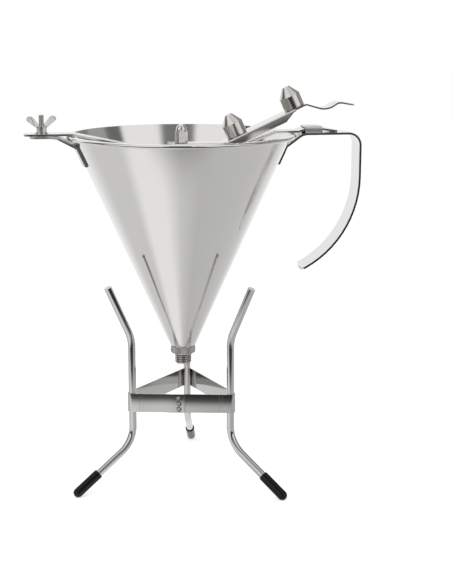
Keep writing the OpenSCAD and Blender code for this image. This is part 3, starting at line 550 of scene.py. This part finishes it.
rings = int(all_turns * COIL_STEPS) + 1
verts = []
for i in range(rings):
    a = TURN * i / COIL_STEPS
    wire_middle = lo.z + wire_z + coil_height(i / COIL_STEPS)
    for k in range(WIRE_SIDES):
        b = TURN * k / WIRE_SIDES
        r = coil_r + WIRE_R * math.cos(b)
        verts.append((r * math.cos(a), r * math.sin(a), wire_middle + WIRE_R * math.sin(b)))
faces = ring_faces(rings, WIRE_SIDES, False)
faces.append(tuple(reversed(range(WIRE_SIDES))))
faces.append(tuple((rings - 1) * WIRE_SIDES + k for k in range(WIRE_SIDES)))
spring_piece = new_piece("spring_coil", verts, faces, spring_steel, angle=45)
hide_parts("return_spring")
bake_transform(spring_piece)


# ---- floor ----

FLOOR_HALF = 9.0                # its outline is far outside the view
ROOM_TURN = math.radians(9.0)   # the room's dark end lies in front, a little to the left

floor_mesh = bpy.data.meshes.new("floor")
corners = [(x * FLOOR_HALF, y * FLOOR_HALF, 0) for x, y in ((-1, -1), (1, -1), (1, 1), (-1, 1))]
floor_mesh.from_pydata(corners, [], [(0, 1, 2, 3)])
floor = bpy.data.objects.new("floor", floor_mesh)
bpy.context.scene.collection.objects.link(floor)

# white to the eye; the metal sees it darken in front of the object and on some sides
floor_mat, n = new_material("floor")
where = n.add("ShaderNodeTexCoord").outputs["Object"]
axes = n.add("ShaderNodeSeparateXYZ", Vector=where)
to_front = (-math.sin(ROOM_TURN), -math.cos(ROOM_TURN), 0.0)
by_distance = n.ramp(n.dot(where, to_front), [(0.0, 1.0), (0.26, 1.0), (0.42, 0.10), (0.60, 0.04)], "EASE")
by_side = n.ramp(n.share_of_turn(axes.outputs[0], axes.outputs[1]), [
    (0, 0.64), (30 * DEG, 0.72), (60 * DEG, 1.0), (120 * DEG, 1.0), (150 * DEG, 0.74),
    (190 * DEG, 0.74), (205 * DEG, 1.0), (238 * DEG, 1.0), (262 * DEG, 0.72), (290 * DEG, 0.60),
    (359 * DEG, 0.64)])
path = n.add("ShaderNodeLightPath")
lit = n.add("ShaderNodeBsdfDiffuse", Color=grey(0.80))
lift = n.add("ShaderNodeEmission", Color=grey(1.0),
             Strength=n.math("MULTIPLY", path.outputs["Is Camera Ray"], 0.5))
seen = n.add("ShaderNodeAddShader")
n.put(seen.inputs[0], lit.outputs[0])
n.put(seen.inputs[1], lift.outputs[0])
mirrored = n.add("ShaderNodeEmission", Color=grey(1.0), Strength=n.math("MULTIPLY", by_distance, by_side))
both = n.add("ShaderNodeMixShader", Fac=path.outputs["Is Glossy Ray"])
n.put(both.inputs[1], seen.outputs[0])
n.put(both.inputs[2], mirrored.outputs[0])
n.add("ShaderNodeOutputMaterial", Surface=both.outputs[0])
floor_mesh.materials.append(floor_mat)


# ---- studio: soft boxes round the object, as the metal shows them ----

world = bpy.data.worlds.new("studio")
bpy.context.scene.world = world
world.use_nodes = True
n = Nodes(world.node_tree)
way = n.add("ShaderNodeTexCoord").outputs["Generated"]
axes = n.add("ShaderNodeSeparateXYZ", Vector=way)
panels = n.ramp(n.share_of_turn(axes.outputs[0], axes.outputs[1]), [
    (0 * DEG, 0.18), (6 * DEG, 0.40), (28 * DEG, 0.42), (34 * DEG, 0.24), (56 * DEG, 0.30),
    (62 * DEG, 1.0), (146 * DEG, 1.0), (151 * DEG, 0.10), (180 * DEG, 0.12), (186 * DEG, 1.0),
    (242 * DEG, 1.0), (249 * DEG, 0.26), (262 * DEG, 0.20), (286 * DEG, 0.24), (294 * DEG, 1.0),
    (339 * DEG, 1.0), (344 * DEG, 0.16), (359 * DEG, 0.18)])
height = n.math("DIVIDE", n.math("ARCSINE", axes.outputs[2]), math.pi / 2)
overhead = n.ramp(height, [(0.0, 0.0), (0.62, 0.0), (0.78, 1.0)])
room = n.mix(overhead, panels, grey(0.85))
path = n.add("ShaderNodeLightPath")
unseen = n.mix(path.outputs["Is Glossy Ray"], grey(0.62), room)
shown = n.math("MAXIMUM", path.outputs["Is Camera Ray"], path.outputs["Is Transmission Ray"])
back = n.add("ShaderNodeBackground", Color=n.mix(shown, unseen, grey(1.0)), Strength=1.0)
n.add("ShaderNodeOutputWorld", Surface=back.outputs[0])


def soft_light(name, place, size, power):
    """A square light that faces the object and that the metal doesn't show."""
    data = bpy.data.lights.new(name, "AREA")
    data.shape = "SQUARE"
    data.size = size
    data.energy = power
    obj = bpy.data.objects.new(name, data)
    bpy.context.scene.collection.objects.link(obj)
    obj.location = place
    aim = Vector((0, 0, 0.2)) - Vector(place)
    obj.rotation_euler = aim.to_track_quat("-Z", "Y").to_euler()
    obj.visible_glossy = False


soft_light("key", (-1.3, -1.5, 1.9), 1.2, 26)
soft_light("fill", (1.6, -1.0, 1.4), 1.4, 10)
